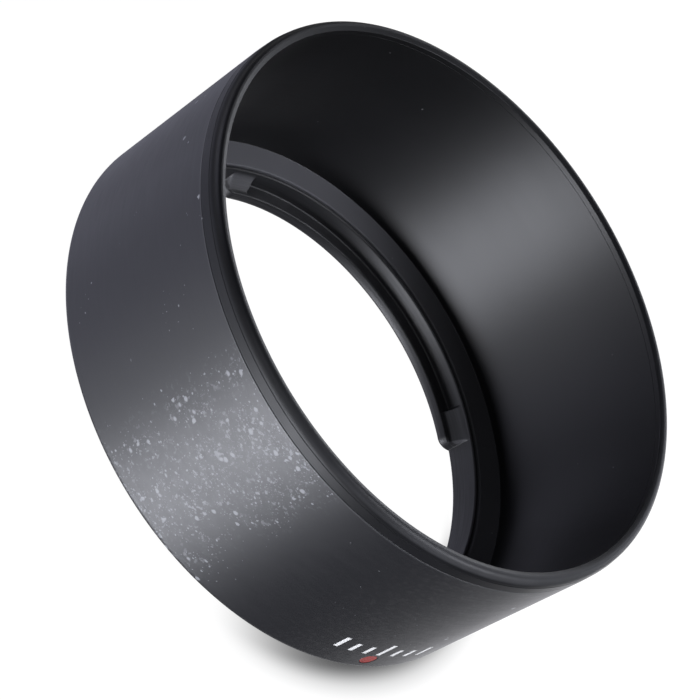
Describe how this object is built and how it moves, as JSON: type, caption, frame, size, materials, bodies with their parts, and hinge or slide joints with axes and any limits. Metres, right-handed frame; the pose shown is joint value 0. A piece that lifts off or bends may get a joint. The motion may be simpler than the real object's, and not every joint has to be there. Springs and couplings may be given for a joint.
{
  "type": "lens hood",
  "caption": "Short conical bayonet lens hood with a satin barrel, smooth front rim, inner shoulder, inward lugs and a red index dot.",
  "frame": {"origin": "on the optical axis, in the plane of the rear face of the bayonet collar that the hood stands on", "axes": "+Z along the optical axis from the lens towards the subject, -Y through the red index dot, +X completes a right-handed frame"},
  "size_m": [0.0704, 0.0704, 0.0302],
  "materials": {
    "barrel_satin": "fine-grained satin blue-black moulded plastic, scuffed and dusty, matte black inside",
    "rim_smooth": "smoother satin black moulded plastic",
    "mount_matte": "matte black moulded plastic, polished where the lugs slide",
    "index_red": "matte red paint"
  },
  "bodies": {
    "root": {"barrel": "barrel_satin", "front_rim_ring": "rim_smooth", "bayonet_ring": "mount_matte", "index_dot": "index_red"}
  },
  "joints": []
}
